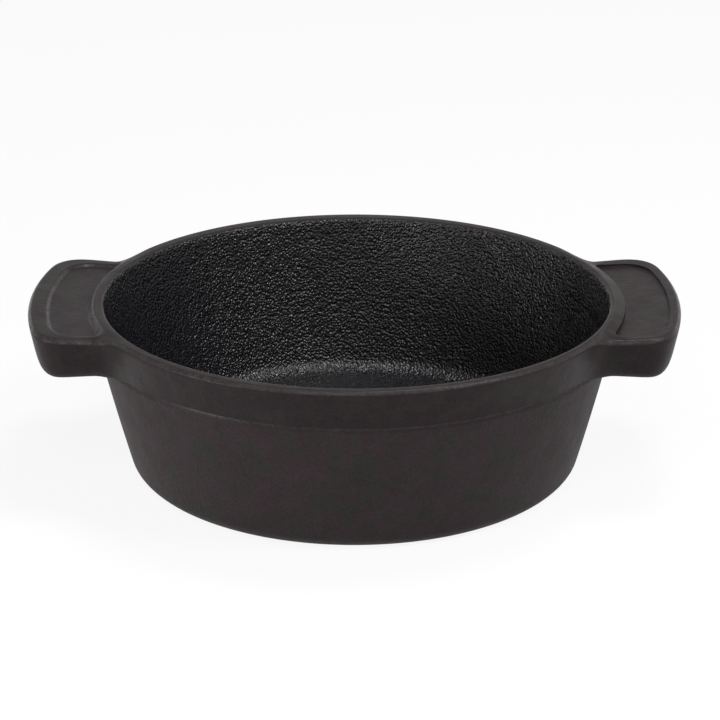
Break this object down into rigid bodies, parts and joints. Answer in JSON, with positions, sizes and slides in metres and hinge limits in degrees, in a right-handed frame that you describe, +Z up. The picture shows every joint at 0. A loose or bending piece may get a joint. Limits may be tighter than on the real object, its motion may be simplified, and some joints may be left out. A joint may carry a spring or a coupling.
{
  "type": "dutch oven pot",
  "caption": "Round open cast iron pot with a thick rim band, tapered side, flat floor and short lug handles with shallow thumb recesses.",
  "frame": {"origin": "centre of the ground plane that the foot ring stands on", "axes": "+Z up out of the mouth, +X through the right handle, -X through the left handle, -Y towards the cook"},
  "size_m": [0.2948, 0.239, 0.0795],
  "materials": {
    "cast_iron": "seasoned as-cast, satin to matt, pebbled inside"
  },
  "bodies": {
    "root": {"pot_floor": "cast_iron", "foot_ring": "cast_iron", "pot_wall": "cast_iron", "rim_band": "cast_iron", "left_handle": "cast_iron", "right_handle": "cast_iron"}
  },
  "joints": []
}
